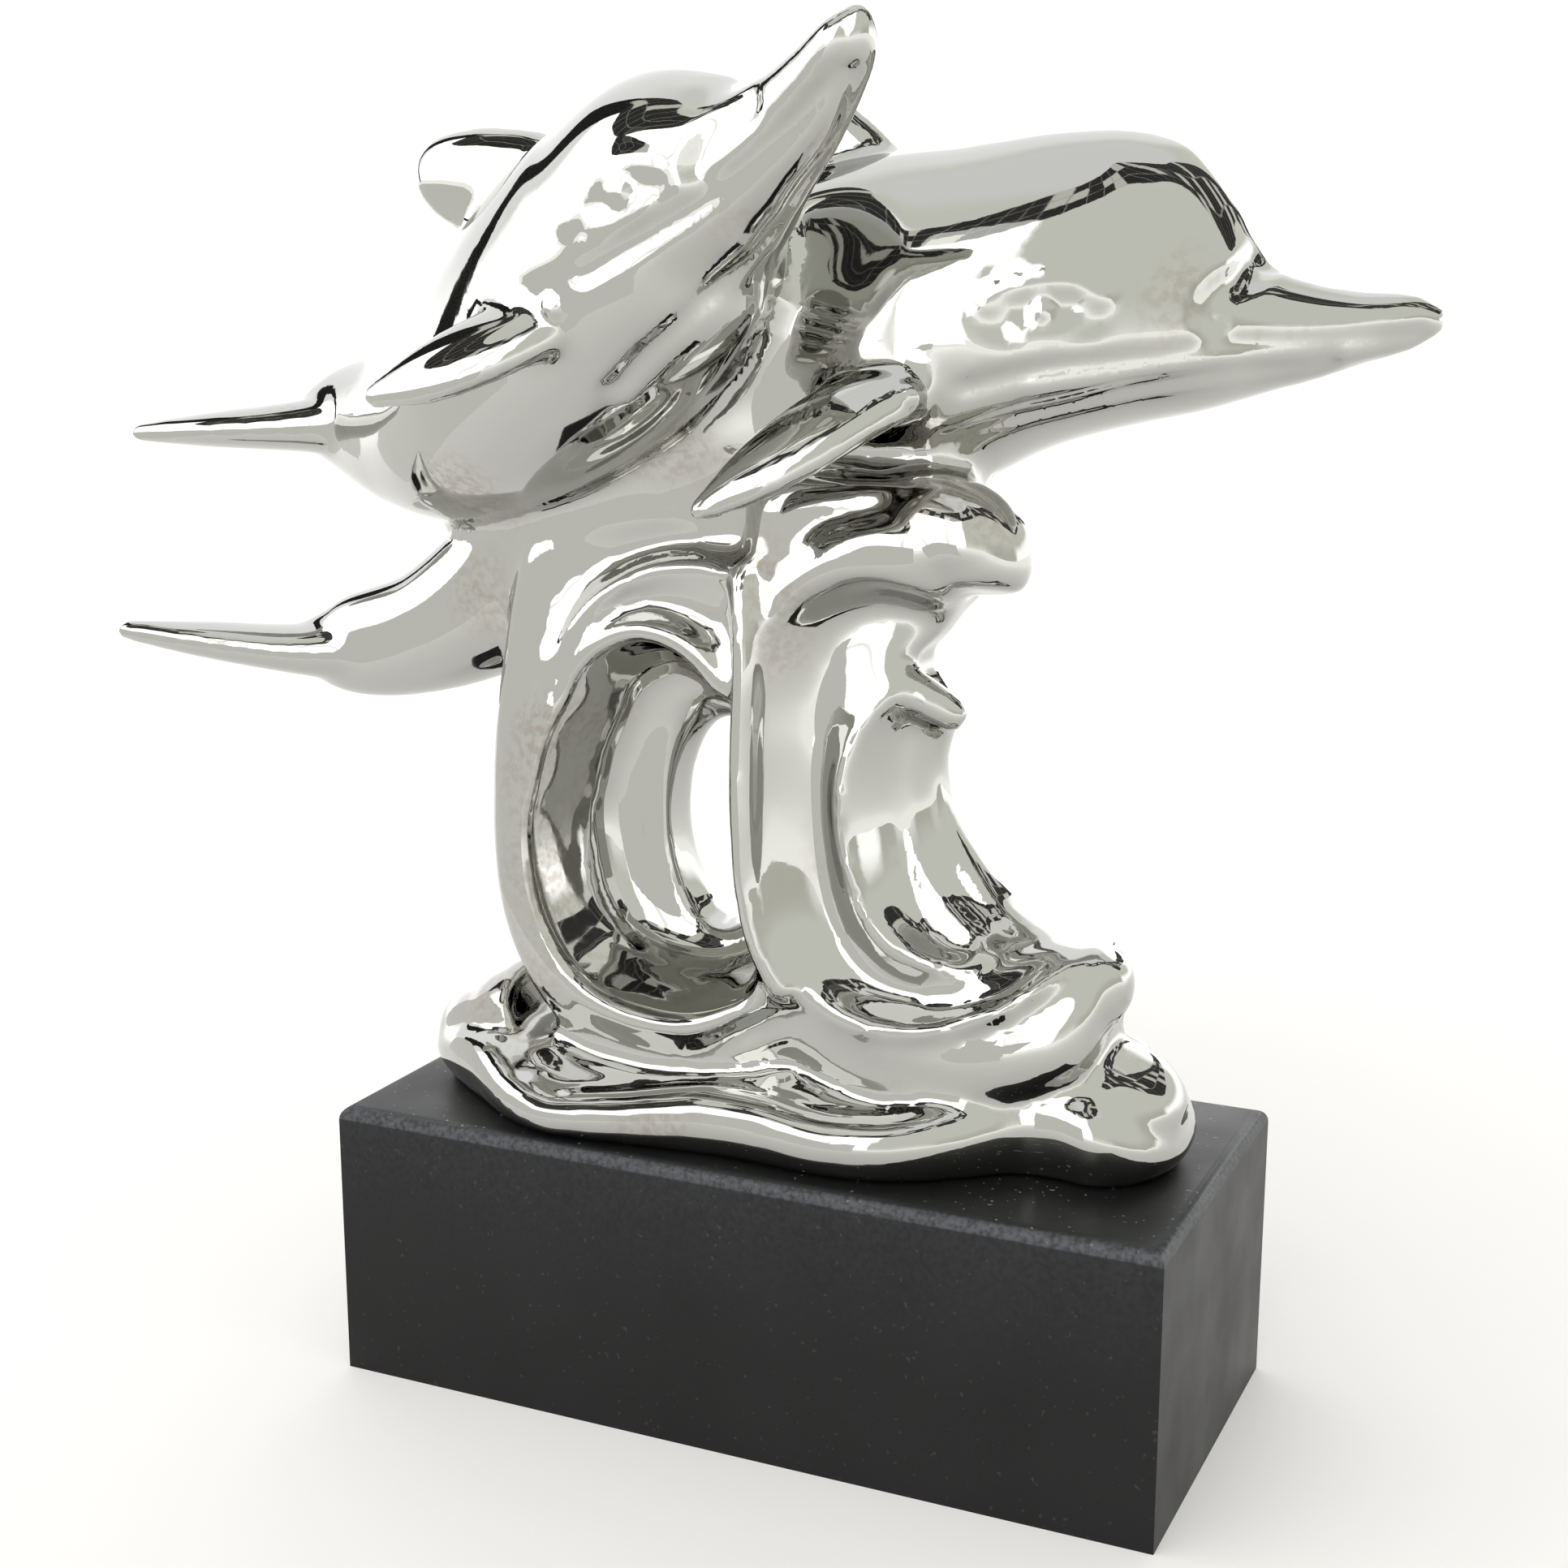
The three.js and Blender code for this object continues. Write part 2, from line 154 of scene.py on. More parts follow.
# %% Fins
FINS = [
    ((0, 0, 1), [(-108, 5, 141, 9, 7), (-124, 2, 140, 9, 5), (-145, -3, 139, 7, 3.2),
                 (-163, -7, 138, 1.5, 1.2)]),
    ((0, 0, 1), [(-108, 7, 141, 9, 7), (-122, 16, 141, 9, 5), (-134, 28, 140, 6, 3.2),
                 (-143, 38, 139, 1.5, 1.2)]),
    ((0.3, 1, 0), [(-40, -20, 180, 18, 6), (-54, -18, 187.5, 13, 5.2), (-66, -17, 191, 9.5, 5),
                   (-73, -16.5, 191.5, 7, 4.6), (-76.5, -16, 191, 4, 3)]),
    ((-0.3, -0.8, 0.5), [(-24, -43, 168, 7, 4.5), (-36, -53, 161, 8, 3.6), (-49, -58, 155, 6.5, 2.8),
                         (-62, -60, 150, 1.5, 1.2)]),
    ((0, 0, 1), [(-106, 1, 91, 9, 7), (-122, -4, 91, 9, 5), (-142, -12, 93, 6.5, 3.4),
                 (-160, -19, 95, 1.5, 1.4)]),
    ((0, 0, 1), [(-106, 3, 91, 9, 7), (-118, 11, 92, 9, 5), (-128, 20, 92.5, 6, 3.2),
                 (-136, 29, 92, 1.5, 1.2)]),
    ((0, 1, 0), [(8, 12, 180, 17, 7), (0, 11, 194, 12, 5), (-7, 10.5, 203, 8, 4), (-13, 10, 208, 3, 2)]),
    ((-0.3, -0.8, 0.5), [(26, -12, 152, 7, 4.5), (17, -24, 146, 8.5, 3.8), (6, -32, 137.5, 7, 2.9),
                         (-6, -37, 128.5, 1.5, 1.2)]),
    ((-0.3, 0.8, 0.5), [(26, 37, 152, 7, 4.5), (17, 48, 146, 8.5, 3.8), (6, 55, 137.5, 7, 2.9),
                        (-6, 59, 128.5, 1.5, 1.2)]),
]
for i, (face, rows) in enumerate(FINS):
    forms.append(coil(f"fin_{i}", rows, up=face, sides=28))
print("fins", len(FINS))

# %% [markdown]
# Under the dolphins stands a wave, on the real piece a thick wall with two scooped bowls, one of them
# open at the back. A flat slab is cut to the wave's outline first and takes its relief afterwards,
# because an outline drawn in one go keeps its long clean curves.

# %% The wave slab and its hollows
WAVE_OUTLINE = [
    (-46, 17), (-53, 25), (-58.5, 34.5), (-62, 45), (-63.5, 57), (-64, 70), (-63.5, 83), (-62, 96),
    (-60, 109), (-56, 123), (-50, 136), (-20, 136), (10, 134), (28, 133), (35, 130), (38, 122), (37, 113),
    (33, 108), (30, 104), (25, 98), (30, 91), (32, 86), (30, 79), (31, 70), (36.5, 59.5), (45.5, 50),
    (55, 45.5), (61, 44), (65.5, 43.5), (67.5, 40), (68, 33), (66.5, 25), (60, 20), (48, 15), (33, 12),
    (20, 13), (11, 17), (5.5, 19), (0, 16), (-9, 12), (-20, 9), (-34, 9),
]
WAVE_FRONT, WAVE_BACK, WAVE_BEVEL, WAVE_TAPER = -22.0, 20.0, 5.0, 0.65
CLAY = 1.1


def skin_points(mesh):
    """Every vertex of a mesh as a row."""
    co = np.empty(len(mesh.vertices) * 3)
    mesh.vertices.foreach_get("co", co)
    return co.reshape(-1, 3)


def remesh(obj, voxel):
    """Make the skin anew from cubes this many millimetres wide."""
    only(obj)
    obj.data.remesh_voxel_size = voxel * MM
    obj.data.remesh_voxel_adaptivity = 0
    obj.data.use_remesh_fix_poles = False
    bpy.ops.object.voxel_remesh()


def closed_spline(points, steps):
    """Points in between, on a loop through all of them."""
    loop = np.array(points, float)
    count = len(loop)
    out = []
    for i in range(count):
        p0, p1, p2, p3 = (loop[(i + k - 1) % count] for k in range(4))
        for k in range(steps):
            t = k / steps
            out.append(0.5 * (2 * p1 + (p2 - p0) * t + (2 * p0 - 5 * p1 + 4 * p2 - p3) * t ** 2
                              + (3 * p1 - p0 - 3 * p2 + p3) * t ** 3))
    return np.array(out)


def slab():
    """The outline pushed from front to back, rims rounded, thinner behind towards the right."""
    edge = closed_spline(WAVE_OUTLINE, 4)
    run = np.roll(edge, -1, axis=0) - np.roll(edge, 1, axis=0)
    run /= np.linalg.norm(run, axis=1)[:, None]
    inward = np.column_stack([run[:, 1], -run[:, 0]])
    layers = []
    for turn in np.radians((0, 22.5, 45, 67.5, 90)):
        layers.append((WAVE_FRONT + WAVE_BEVEL * (1 - math.sin(turn)), WAVE_BEVEL * (1 - math.cos(turn))))
    layers = layers[::-1]
    layers += [(-y + WAVE_FRONT + WAVE_BACK, inset) for y, inset in layers[::-1]]
    skin = []
    for y, inset in layers:
        flat = edge + inward * inset
        t = np.clip((flat[:, 0] + 10) / 50, 0, 1)
        depth = y * (1 - WAVE_TAPER * t * t * (3 - 2 * t)) if y > 0 else np.full(len(flat), y)
        ring = np.column_stack([flat[:, 0], depth, flat[:, 1]])
        skin.append(np.vstack([ring, ring[:1]]))
    return roll("wave_slab", np.array(skin))


def cut(body, tool):
    """Take the tool's shape away from the body."""
    only(body)
    mod = body.modifiers.new("cut", "BOOLEAN")
    mod.operation, mod.solver, mod.object = "DIFFERENCE", "MANIFOLD", tool
    bpy.ops.object.modifier_apply(modifier=mod.name)
    bpy.data.objects.remove(tool, do_unlink=True)


wave = slab()
remesh(wave, CLAY)
print("wave slab", len(wave.data.polygons))

# %% [markdown]
# The wave is thrown in relief. Sharp ridge lines and soft valley lines, each point (across, depth,
# up), are read from the photograph, and the face of the slab falls from every ridge to its valley.
# Sculpting by hand could do it too, but a table of lines can be checked and moved by a millimetre.

# %% Ridges and valleys of the wave
RIDGES = {
    "right_rim": [
        (46, -15, 113), (42, -17, 112.5), (37, -19, 114), (31, -20.5, 116.5), (25, -21.5, 119),
        (18, -22, 119.5), (11, -22, 117), (5.5, -22, 112), (1, -22.5, 104), (-1.5, -23, 93.5),
        (-2, -23.5, 82.5), (-2, -23.5, 69.5), (-0.5, -24, 56.5), (2.5, -24, 45), (8.5, -24, 36.5),
        (17, -25, 30.5), (26, -26, 28.5), (36, -26, 29), (45, -26, 32), (53, -24, 36), (60, -20, 41.5),
        (65, -15, 45),
    ],
    "lobe_top": [(-5, -20, 114.5), (-1, -20, 118), (5.5, -19, 122.5), (14, -17, 126.5), (23.5, -15, 129),
                 (32.5, -13, 130.5), (41, -10, 132)],
    "stem": [(-5, -20, 114.5), (-2.5, -22, 109.5), (-1.5, -23, 101.5), (-2.5, -23.5, 92)],
    "upper_arch": [(-5, -20, 114.5), (-12, -20, 116), (-21, -20, 116), (-29.5, -20, 113.5),
                   (-37.5, -20.5, 107.5), (-43, -21, 101), (-48, -21, 89.5), (-52, -21, 80),
                   (-54.5, -21, 72)],
    "bowl_rim": [(-5, -21, 90), (-10, -21, 94), (-14, -22, 98.5), (-19.5, -22, 102), (-27.5, -22, 103.5),
                 (-36, -22, 100.5), (-42.5, -22, 94.5), (-46.5, -22, 86.5), (-50.5, -22, 78),
                 (-53, -22, 69), (-55, -22, 60), (-54, -22.5, 50), (-51, -23, 40), (-44.5, -24, 31),
                 (-36.5, -25, 26), (-26.5, -25.5, 23.5), (-15.5, -25.5, 23.5), (-6.5, -25, 26.5),
                 (-0.5, -24, 30), (1, -24, 35.5)],
    "left_band": [(-46.5, -14, 122), (-50, -15, 115.5), (-53, -16, 105.5), (-55, -17, 93.5),
                  (-56.5, -18.5, 83.5), (-56.5, -20, 75)],
    "shelf": [(-46.5, -14, 122), (-39, -14, 124), (-28, -14, 125.5), (-17.5, -13, 126),
              (-10, -12, 125.5)],
    "inner_lip": [(41, -18, 39.5), (34, -19, 41), (27, -19.5, 44), (21.5, -20, 50), (18, -20, 59.5),
                  (16, -20, 69), (16.5, -19, 78), (19, -17.5, 85.5), (22.5, -15.5, 91), (26, -13, 94.5)],
}
VALLEYS = {
    "right_trough": [(36, -6, 106), (28.5, -7, 107.5), (21, -9, 107), (14.5, -11, 102.5), (10.5, -12, 94),
                     (10, -13, 81), (10.5, -13, 68), (11.5, -13.5, 55), (15, -14, 44.5), (22, -15, 37),
                     (30.5, -15, 34), (40.5, -14, 35), (49.5, -12, 38.5), (58.5, -10, 44)],
    "inner_bowl": [(26, -6, 85), (24, -6, 75), (24, -6, 65), (27, -7, 55), (32.5, -9, 47.5),
                   (39, -11, 43.5)],
    "inner_edge": [(31, -3, 84), (30, -2.5, 75), (30.5, -2.5, 67), (35.5, -3.5, 57), (44, -6, 50),
                   (54, -9, 46)],
    "arch_groove": [(-13, -15, 105.5), (-20, -15, 108), (-27.5, -15, 108.5), (-35, -15.5, 106),
                    (-42, -16.5, 99.5), (-46, -18, 91)],
    "upper_groove": [(-10, -12, 119.5), (-20.5, -11, 119.5), (-31.5, -11, 117.5), (-40.5, -12, 114),
                     (-46, -14, 107.5), (-48, -16, 101)],
    "lobe_face": [(7, -19.5, 119), (14, -20.5, 122), (22.5, -21.5, 123.5), (31, -21.5, 122.5),
                  (39, -19.5, 120.5), (44.5, -16, 119)],
    "lower_band": [(-44, -22, 19), (-28.5, -22, 16), (-11.5, -22, 17.5), (2, -20, 25), (12, -22, 22),
                   (26.5, -23, 19.5), (43.5, -23, 20.5), (60.5, -21, 25.5), (72, -17, 30)],
}


def fine(line):
    """Close points along one line."""
    return spline([(x, y, z, 0, 0, 0) for x, y, z in line], 8)[:, :3]


def sampled(lines):
    """Close points along every line."""
    return np.vstack([fine(line) for line in lines.values()])


def nearest(flat, line):
    """Distance to a set of lines, and the depth of the lines around there."""
    gap = np.linalg.norm(flat[:, None] - line[None, :, (0, 2)], axis=2)
    weight = 1 / (gap + 0.6) ** 5
    return gap.min(axis=1), (weight * line[:, 1]).sum(axis=1) / weight.sum(axis=1)


def relief(flat):
    """Depth of the wave's face at points (across, up)."""
    to_ridge, ridge = nearest(flat, sampled(RIDGES))
    to_valley, valley = nearest(flat, sampled(VALLEYS))
    t = to_ridge / (to_ridge + to_valley + 1e-6)
    return ridge + (valley - ridge) * np.sin(t * math.pi / 2)


clay = skin_points(wave.data) / MM - (0, 0, PLINTH_HEIGHT)
depth = np.vstack([relief(part[:, (0, 2)])[:, None] for part in np.array_split(clay, 40)])[:, 0]
share = depth / WAVE_FRONT
clay[:, 1] *= np.where(clay[:, 1] < 0, share, 0.5 + 0.5 * share)
wave.data.vertices.foreach_set("co", in_frame(clay).ravel())

# %% [markdown]
# The left bowl runs right through the wall and leaves a tear-shaped window. It is bored with a stack
# of ovals that narrow and widen again, like a thumb pushed through clay. A straight hole would leave
# a sharp rim, and the real rim is round.

# %% Bowl and window
BOWL = [(-40, 1.2, 0, 0), (-22, 0.97, 0, 0), (-14, 0.93, 0, 0), (-6, 0.88, -0.5, 0), (0, 0.8, -1, 0),
        (3, 0.68, -2, 0), (4.5, 0.45, -4, 0)]
WINDOW = [(-21, 0, 60, 17, 28), (-21, 4, 59.5, 14.5, 25.5), (-21.5, 8, 59, 12.7, 23.5),
          (-21.5, 12, 59, 12.2, 22.8), (-21.5, 16, 59, 13.5, 25), (-22, 21, 60, 18, 31),
          (-22, 36, 60, 26, 40)]


def bowl():
    """The bowl's rim, smaller and smaller towards the back."""
    rim = closed_spline([(x, z) for x, y, z in RIDGES["bowl_rim"]] + [(-2.5, 50), (-4.5, 68.5)], 4)
    middle = np.array([-27.0, 62.0])
    rings = []
    for y, size, aside, lift in BOWL:
        flat = middle + (rim - middle) * size + (aside, lift)
        ring = np.column_stack([flat[:, 0], np.full(len(flat), y), flat[:, 1]])
        rings.append(np.vstack([ring, ring[:1]]))
    return roll("bowl", np.array(rings))


cut(wave, bowl())
cut(wave, coil("tear", [(29.5, -14, 82, 2, 2.5), (28.5, -10, 79, 3, 3.8), (27, -8.5, 73, 2.6, 3.4),
                        (26, -9, 67, 1, 1)], sides=32))
cut(wave, coil("window", WINDOW, sides=72, steps=6))
forms.append(wave)
print("wave", len(wave.data.polygons))

# %% [markdown]
# Rolled crests, the swollen lobes of the wave and the puddle it stands in are the last clay to be
# added. The foot is drawn as rings from its edge inwards: they lean out, turn over in a rim and run
# level, because a plain slab would lack the dark undercut line that the eye sees above the plinth.

# %% Crests, bulges and foot
CRESTS = [
    [(-5, -18.5, 117, 1.6, 2), (-3, -21.5, 109, 1.8, 2.5), (-2, -23.5, 98, 1.8, 2.5),
     (-2.5, -23.8, 84, 1.8, 2.5), (-2.5, -24, 68, 1.8, 2.5), (-1.5, -24, 54, 1.8, 2.5),
     (1.5, -24, 42, 2, 2.5), (7, -24, 33, 1.6, 2)],
    [(-58, 14, 40, 4, 4), (-59, 16, 70, 4, 4), (-56, 17, 95, 4, 4), (-48, 18, 113, 4, 4),
     (-34, 18, 122, 4, 4), (-18, 18, 121, 4, 4), (-6, 16, 112, 4, 4), (-2, 15, 98, 4, 4),
     (-2, 15, 70, 4, 4), (0, 15, 45, 4, 4), (8, 14, 32, 4.5, 4), (22, 12, 25, 4, 4)],
    [(-55, 14, 36, 3, 3), (-46, 17, 25, 5, 5), (-28, 18, 19, 5, 5), (-10, 17, 22, 5, 5),
     (2, 15, 30, 3, 3)],
    [(0, 14, 110, 3, 3), (8, 14, 121, 3.5, 4), (20, 12, 127, 3.5, 4), (34, 8, 128, 3, 4)],
]
BULGES = [
    [(20, -6, 126, 9, 8), (33, -9, 125, 11, 10), (40.5, -10.5, 120, 10.5, 10.5),
     (41, -12, 114.5, 8.5, 6.5)],
    [(20, -9, 96, 2.4, 2.6), (26, -8.5, 94, 3, 3.2), (32, -7.5, 90.5, 3.1, 3.2),
     (36.5, -6.5, 87.5, 2, 2.2)],
    [(34, -10, 29, 8, 9), (50, -9, 32, 10, 11), (59, -8, 35, 9.5, 10.5), (65.5, -7, 39, 7.5, 8),
     (68.5, -6.5, 43.5, 5, 4)],
    [(-83, -5, 5, 5, 4), (-77, -5, 10, 11, 7.5), (-69, -4, 14.5, 15, 8.5), (-60, -4, 18, 17, 9)],
    [(56, -2, 12, 14, 9.5), (65, -2, 14, 15, 10.5), (73, -1, 12, 14, 9.5), (78, 0, 8, 9, 7)],
    [(-46, -2, 130, 7, 8), (-25, -1, 137, 10, 13), (5, 2, 138, 11, 16), (24, 2, 136, 9, 14),
     (36, 2, 134, 5, 8)],
]
PUDDLE = [
    (-82, -5), (-78, -13), (-71, -19.5), (-62, -26), (-52, -32.5), (-42, -36), (-31, -35.5), (-18, -34),
    (-1, -32.5), (17, -33.5), (29, -32), (38, -28), (46, -22), (53, -17), (61, -16), (69, -17),
    (75, -13.5), (78.5, -7), (79.5, 0), (78, 9), (72, 18), (62, 25), (46, 29), (25, 31), (0, 32),
    (-25, 32), (-50, 30), (-69, 23), (-79, 12), (-83, 3),
]
RIM_HEIGHT = [(-84, 9), (-71, 14), (-61, 14), (-51, 10), (-40, 8), (-24, 10), (-8, 13), (6, 13),
              (19, 11.5), (32, 12), (43, 14), (56, 18), (65, 18), (72, 15), (81, 9)]
WELL_HEIGHT = [(-84, 9), (-70, 15), (-54, 15), (-41, 12.5), (-25, 11), (-6, 12.5), (7, 15), (17, 13.5),
               (29, 11.5), (43, 12.5), (57, 15.5), (66, 17), (81, 9)]
RIM = [(0, 0.5), (0.12, -0.8), (0.3, -2.6), (0.5, -3.6), (0.7, -3.6), (0.87, -2.4), (0.97, -0.4), (1, 2),
       (0.98, 4)]


def puddle():
    """The foot: its edge in plan, in rings that lean out, turn over in a rim and run level inside it."""
    edge = closed_spline(PUDDLE, 5)
    run = np.roll(edge, -1, axis=0) - np.roll(edge, 1, axis=0)
    run /= np.linalg.norm(run, axis=1)[:, None]
    inward = np.column_stack([-run[:, 1], run[:, 0]])
    rim = np.interp(edge[:, 0], *np.array(RIM_HEIGHT).T)
    well = np.interp(edge[:, 0], *np.array(WELL_HEIGHT).T)
    rings = [np.column_stack([edge + inward * inset, rim * share]) for share, inset in RIM]
    rings += [np.column_stack([edge + inward * inset, rim + (well - rim) * share - dip])
              for share, inset, dip in ((0.4, 6.5, 1.2), (0.9, 9.5, 0.6), (1, 13, 0), (1, 20, -1))]
    return roll("puddle", np.array([np.vstack([ring, ring[:1]]) for ring in rings]))


forms += [coil(f"crest_{i}", rows, up=(0, -1, 0), sides=24) for i, rows in enumerate(CRESTS)]
forms += [coil(f"bulge_{i}", rows) for i, rows in enumerate(BULGES)]
forms.append(puddle())
print("forms", len(forms))

# %% [markdown]
# ## One skin
# The coils overlap, so they are joined and remeshed into a single skin, as wet clay is pressed
# together. The skin is swelled and shrunk back, which leaves a soft fillet in every crease like
# pooled glaze, and then it is smoothed.

# %% Press the forms into one skin
VOXEL, RELAX = 1.3, 0.5


def swell(obj, distance):
    """Move the skin along its normals by this many millimetres."""
    only(obj)
    mod = obj.modifiers.new("swell", "DISPLACE")
    mod.strength, mod.mid_level, mod.direction = distance * MM, 0.0, "NORMAL"
    bpy.ops.object.modifier_apply(modifier=mod.name)


def relax(obj, factor, times):
    """Draw every vertex towards its neighbours."""
    only(obj)
    mod = obj.modifiers.new("relax", "SMOOTH")
    mod.factor, mod.iterations = factor, times
    bpy.ops.object.modifier_apply(modifier=mod.name)


bpy.ops.object.select_all(action="DESELECT")
for form in forms:
    form.select_set(True)
bpy.context.view_layer.objects.active = forms[0]
bpy.ops.object.join()
casting = bpy.context.object
casting.name = "silver_casting"
remesh(casting, VOXEL)
print("first skin", len(casting.data.polygons))
FILLET, GROWTH = 2.0, 0.8
swell(casting, FILLET)
remesh(casting, VOXEL)
relax(casting, RELAX, 2)
swell(casting, GROWTH - FILLET)
remesh(casting, VOXEL)
relax(casting, RELAX, 7)
print("skin", len(casting.data.polygons))

# %% [markdown]
# ## Faces and flipper roots
# The last forms are pressed into the finished skin: each moves the skin along its own normal, most
# at the line or point and not at all beyond its width. Cut grooves would be sharp, and the glaze
# rounds every edge. One broad press makes the saddle between the two dolphins.

# %% Eyes, mouths and creases
PRESSED = [
    # name, half width, height, points on the skin
    ("lower_saddle", 18, -4.0, [(9, -15, 176), (5, -17, 168), (2, -17, 160), (-2, -17, 150)]),
    ("lower_socket", 9.5, -1.3, [(46, -10.5, 166.5), (57, -7, 166.5)]),
    ("lower_hood", 4.0, 1.4, [(42.5, -12, 167.5), (45.5, -10.5, 169.5), (49.5, -9, 170.5),
                              (54, -7.5, 171), (58, -6.5, 170.5), (61.5, -5, 168.5)]),
    ("lower_lid", 3.0, 0.5, [(45, -10.5, 165.5), (48.5, -10, 163), (52, -9, 162), (56, -8, 163),
                             (59, -7, 165.5)]),
    ("lower_mouth", 3.4, -1.1, [(115, 22, 161.5), (110.5, 20, 161.5), (101, 15.5, 160.5),
                                (90.5, 10.5, 160), (81.5, 3.5, 159.5), (73.5, 0, 158), (65, -3.5, 157),
                                (55.5, -7.5, 156), (47, -9.5, 154.5), (38, -11.5, 152)]),
    ("lower_lip", 4.5, 0.5, [(106, 18, 158.5), (95, 13.5, 157.5), (84, 6.5, 157), (73, 1, 155.5),
                             (62, -3, 154), (51, -7, 151.5)]),
    ("lower_jaw", 3.6, -1.2, [(99.5, 16, 157), (90, 11.5, 156), (81.5, 5, 155), (73, 1.5, 153.5),
                              (64.5, -1, 151.5), (56, -3, 149), (47, -5, 147), (39.5, -6.5, 144.5),
                              (33, -7, 142)]),
    ("lower_melon", 5.0, -2.0, [(85.5, 17, 174.5), (84, 9.5, 171.5), (81.5, 4.5, 169), (80, 3, 166),
                                (81, 3, 164)]),
    ("upper_socket", 9.5, -0.8, [(-15, -56, 185), (-6, -56.5, 188)]),
    ("upper_hood", 4.0, 1.0, [(-21, -55.5, 182), (-17.5, -56, 186), (-14.5, -56, 189), (-11, -56, 191),
                              (-7.5, -56.5, 191.5), (-4, -56, 191)]),
    ("upper_lid", 3.0, 0.5, [(-16, -56, 181.5), (-12.5, -56.5, 181), (-8.5, -56.5, 182),
                             (-5, -56.5, 184.5)]),
    ("upper_mouth", 3.8, -1.5, [(34.5, -60, 212), (32, -59, 205), (25, -57, 198.5), (16.5, -55, 192.5),
                                (8.5, -54.5, 187), (1, -55, 182.5), (-8.5, -55.5, 177.5),
                                (-18.5, -55.5, 172.5)]),
    ("upper_jaw", 3.6, -1.2, [(34.5, -56.5, 204.5), (28.5, -49, 196), (21, -47, 188), (13, -44, 180),
                              (4.5, -44.5, 172), (-2, -47.5, 165), (-9.5, -48, 159),
                              (-17.5, -45.5, 152.5)]),
    ("upper_melon", 5.0, -2.0, [(14.5, -55.5, 199.5), (11.5, -55.5, 197.5), (8.5, -55.5, 195.5),
                                (6, -55.5, 192.5), (5, -55.5, 190.5)]),
]
ROUND = [
    ("lower_eye", 3.4, 1.7, [(52, -9, 166)]),
    ("lower_knuckle", 3.2, 2.0, [(29.5, -18.5, 150.5)]),
    ("upper_eye", 3.6, 1.7, [(-10, -56.5, 186.5)]),
    ("upper_knuckle", 3.2, 2.0, [(-25.5, -53.5, 166.5)]),
]


def press(obj, width, height, points):
    """Raise or sink the skin along a line or at a point."""
    line = np.array(points, float)
    if len(points) > 1:
        line = fine(points)
    skin = skin_points(obj.data) / MM - (0, 0, PLINTH_HEIGHT)
    facing = np.empty(len(skin) * 3)
    obj.data.vertices.foreach_get("normal", facing)
    facing = facing.reshape(-1, 3)
    inside = (skin > line.min(axis=0) - width) & (skin < line.max(axis=0) + width)
    near = np.where(np.all(inside, axis=1))[0]
    gap = np.linalg.norm(skin[near, None] - line[None], axis=2)
    under = near[gap.argmin(axis=0)]
    same_side = (facing[near] * facing[under[gap.argmin(axis=1)]]).sum(axis=1)
    amount = np.clip(1 - (gap.min(axis=1) / width) ** 2, 0, 1) ** 2 * np.clip(same_side * 2, 0, 1)
    skin[near] += facing[near] * (height * amount)[:, None]
    obj.data.vertices.foreach_set("co", in_frame(skin).ravel())
    obj.data.update()


for name, width, height, points in PRESSED:
    press(casting, width, height, points)
relax(casting, RELAX, 2)
for name, width, height, points in ROUND:
    press(casting, width, height, points)
print("pressed forms", len(PRESSED) + len(ROUND))

# %% [markdown]
# The casting sits flat on its plinth, held by a film of glue. One plane cuts the sole level.

# %% Flat sole
bpy.ops.object.mode_set(mode="EDIT")
bpy.ops.mesh.select_all(action="SELECT")
bpy.ops.mesh.bisect(plane_co=(0, 0, (PLINTH_HEIGHT + SEAT_GAP) * MM), plane_no=(0, 0, 1), use_fill=True,
                    clear_inner=True)
bpy.ops.object.mode_set(mode="OBJECT")
bpy.ops.object.shade_smooth()
print("skin with its sole", len(casting.data.polygons))

# %% [markdown]
# ## Materials
# Colours are read from the photograph as hex codes and turned into linear light. One function adds
# any node, so that each finish below reads as a list of its layers, from the base up. Marks are
# given in real millimetres. The two finest ones, the grain of the film and of the sprayed paint,
# are drawn some five times coarser than they are, because finer marks are lost in the picture.

# %% Colour and node helpers


def srgb(code):
    """Linear colour for an sRGB hex code."""
    parts = [int(code[i:i + 2], 16) / 255 for i in (1, 3, 5)]
    return tuple(p / 12.92 if p <= 0.04045 else ((p + 0.055) / 1.055) ** 2.4 for p in parts) + (1.0,)


def add(tree, kind, links=None, **settings):
    """One node, its settings, and links into its inputs."""
    node = tree.nodes.new(kind)
    for key, value in settings.items():
        setattr(node, key, value)
    for name, value in (links or {}).items():
        socket = node.inputs[name]
        if isinstance(value, bpy.types.NodeSocket):
            tree.links.new(value, socket)
        else:
            socket.default_value = value
    return node


def material(name):
    """A new material with its nodes and its shader."""
    mat = bpy.data.materials.new(name)
    mat.use_nodes = True
    shader = mat.node_tree.nodes["Principled BSDF"]
    return mat, mat.node_tree, shader


def marks(size):
    """Scale of a pattern whose marks are about this many millimetres across."""
    return 1000 / size


# %% [markdown]
# The silver film is a few hundred atoms thick, so it copies the orange peel of the glaze below.
# Where it came out thin the warm glaze shines through as a brownish, slightly duller smudge.

